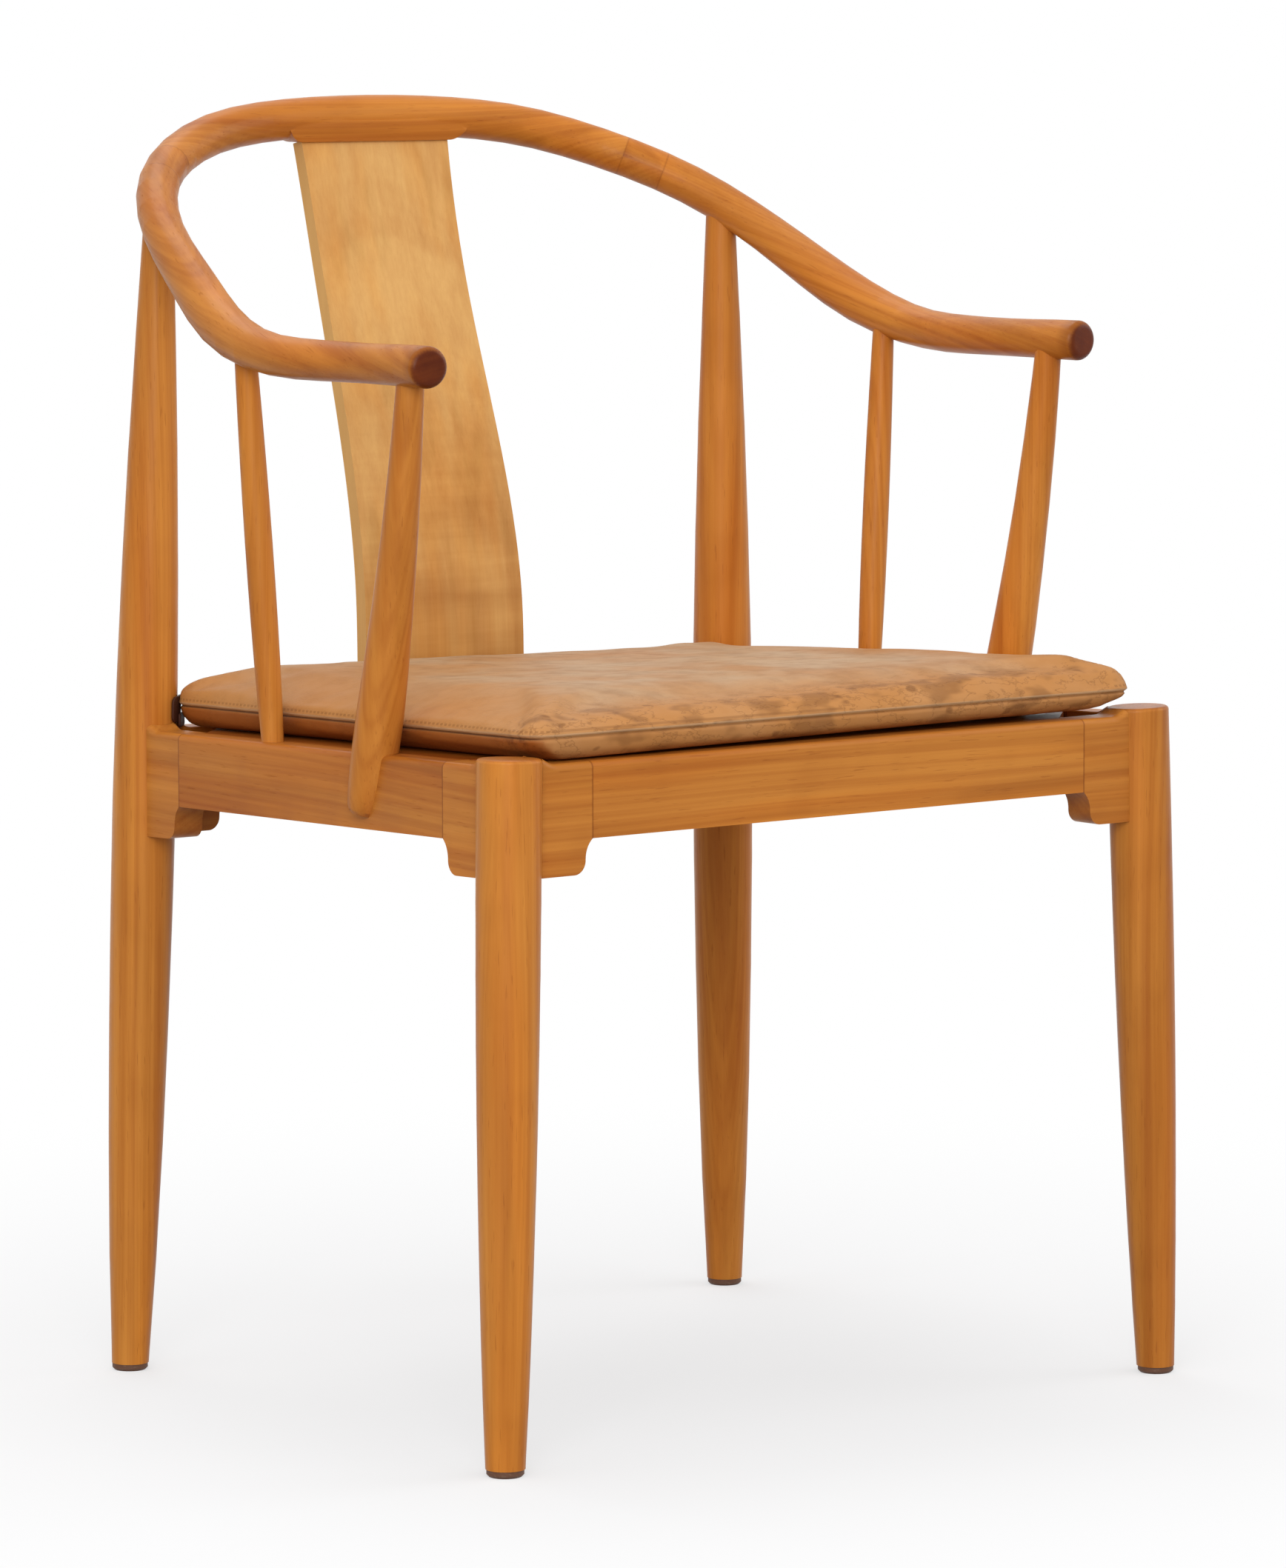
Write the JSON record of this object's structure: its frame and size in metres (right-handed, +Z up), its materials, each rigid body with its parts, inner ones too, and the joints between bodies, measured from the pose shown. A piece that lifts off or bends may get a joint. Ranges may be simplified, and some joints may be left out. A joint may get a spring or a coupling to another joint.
{
  "type": "horseshoe back armchair",
  "caption": "Wooden armchair with a horseshoe rail that forms crest and arms, curved splat, splayed turned legs, bracketed seat frame and a loose leather cushion.",
  "frame": {"origin": "on the floor under the middle of the chair's overall box", "axes": "+Z up, front toward -Y, the sitter's left hand toward +X"},
  "size_m": [0.5582, 0.5227, 0.82],
  "materials": {
    "frame_wood": "oiled cherry, satin, warm red-brown",
    "splat_wood": "oiled cherry board, paler, satin",
    "inner_wood": "plain sanded wood, matt",
    "cushion_leather": "aged natural leather, soft sheen, patina",
    "strap_leather": "dark leather",
    "glide_plastic": "dark brown, matt",
    "steel": "zinc plated"
  },
  "bodies": {
    "frame": {"arm_post_left": "frame_wood", "arm_post_right": "frame_wood", "arm_rail_left": "frame_wood", "arm_rail_right": "frame_wood", "arm_spindle_left": "frame_wood", "arm_spindle_right": "frame_wood", "back_bracket_left": "frame_wood", "back_bracket_right": "frame_wood", "back_leg_left": "frame_wood", "back_leg_right": "frame_wood", "back_splat": "splat_wood", "block_screws": "steel", "corner_block_back_left": "inner_wood", "corner_block_back_right": "inner_wood", "corner_block_front_left": "inner_wood", "corner_block_front_right": "inner_wood", "crest_rail": "frame_wood", "cushion_tie_left": "strap_leather", "cushion_tie_right": "strap_leather", "foot_glides": "glide_plastic", "front_bracket_left": "frame_wood", "front_bracket_right": "frame_wood", "front_leg_left": "frame_wood", "front_leg_right": "frame_wood", "glide_nails": "steel", "panel_screws": "steel", "post_screws": "steel", "seat_panel": "inner_wood", "seat_rail_back": "frame_wood", "seat_rail_front": "frame_wood", "seat_rail_left": "frame_wood", "seat_rail_right": "frame_wood", "side_bracket_back_left": "frame_wood", "side_bracket_back_right": "frame_wood", "side_bracket_front_left": "frame_wood", "side_bracket_front_right": "frame_wood", "tie_nails": "steel"},
    "cushion": {"seat_cushion": "cushion_leather"}
  },
  "joints": [
    {"name": "cushion_lift", "type": "slide", "parent": "frame", "child": "cushion", "axis": [0, -0.7071, 0.7071], "range_m": [0, 0.5]}
  ]
}
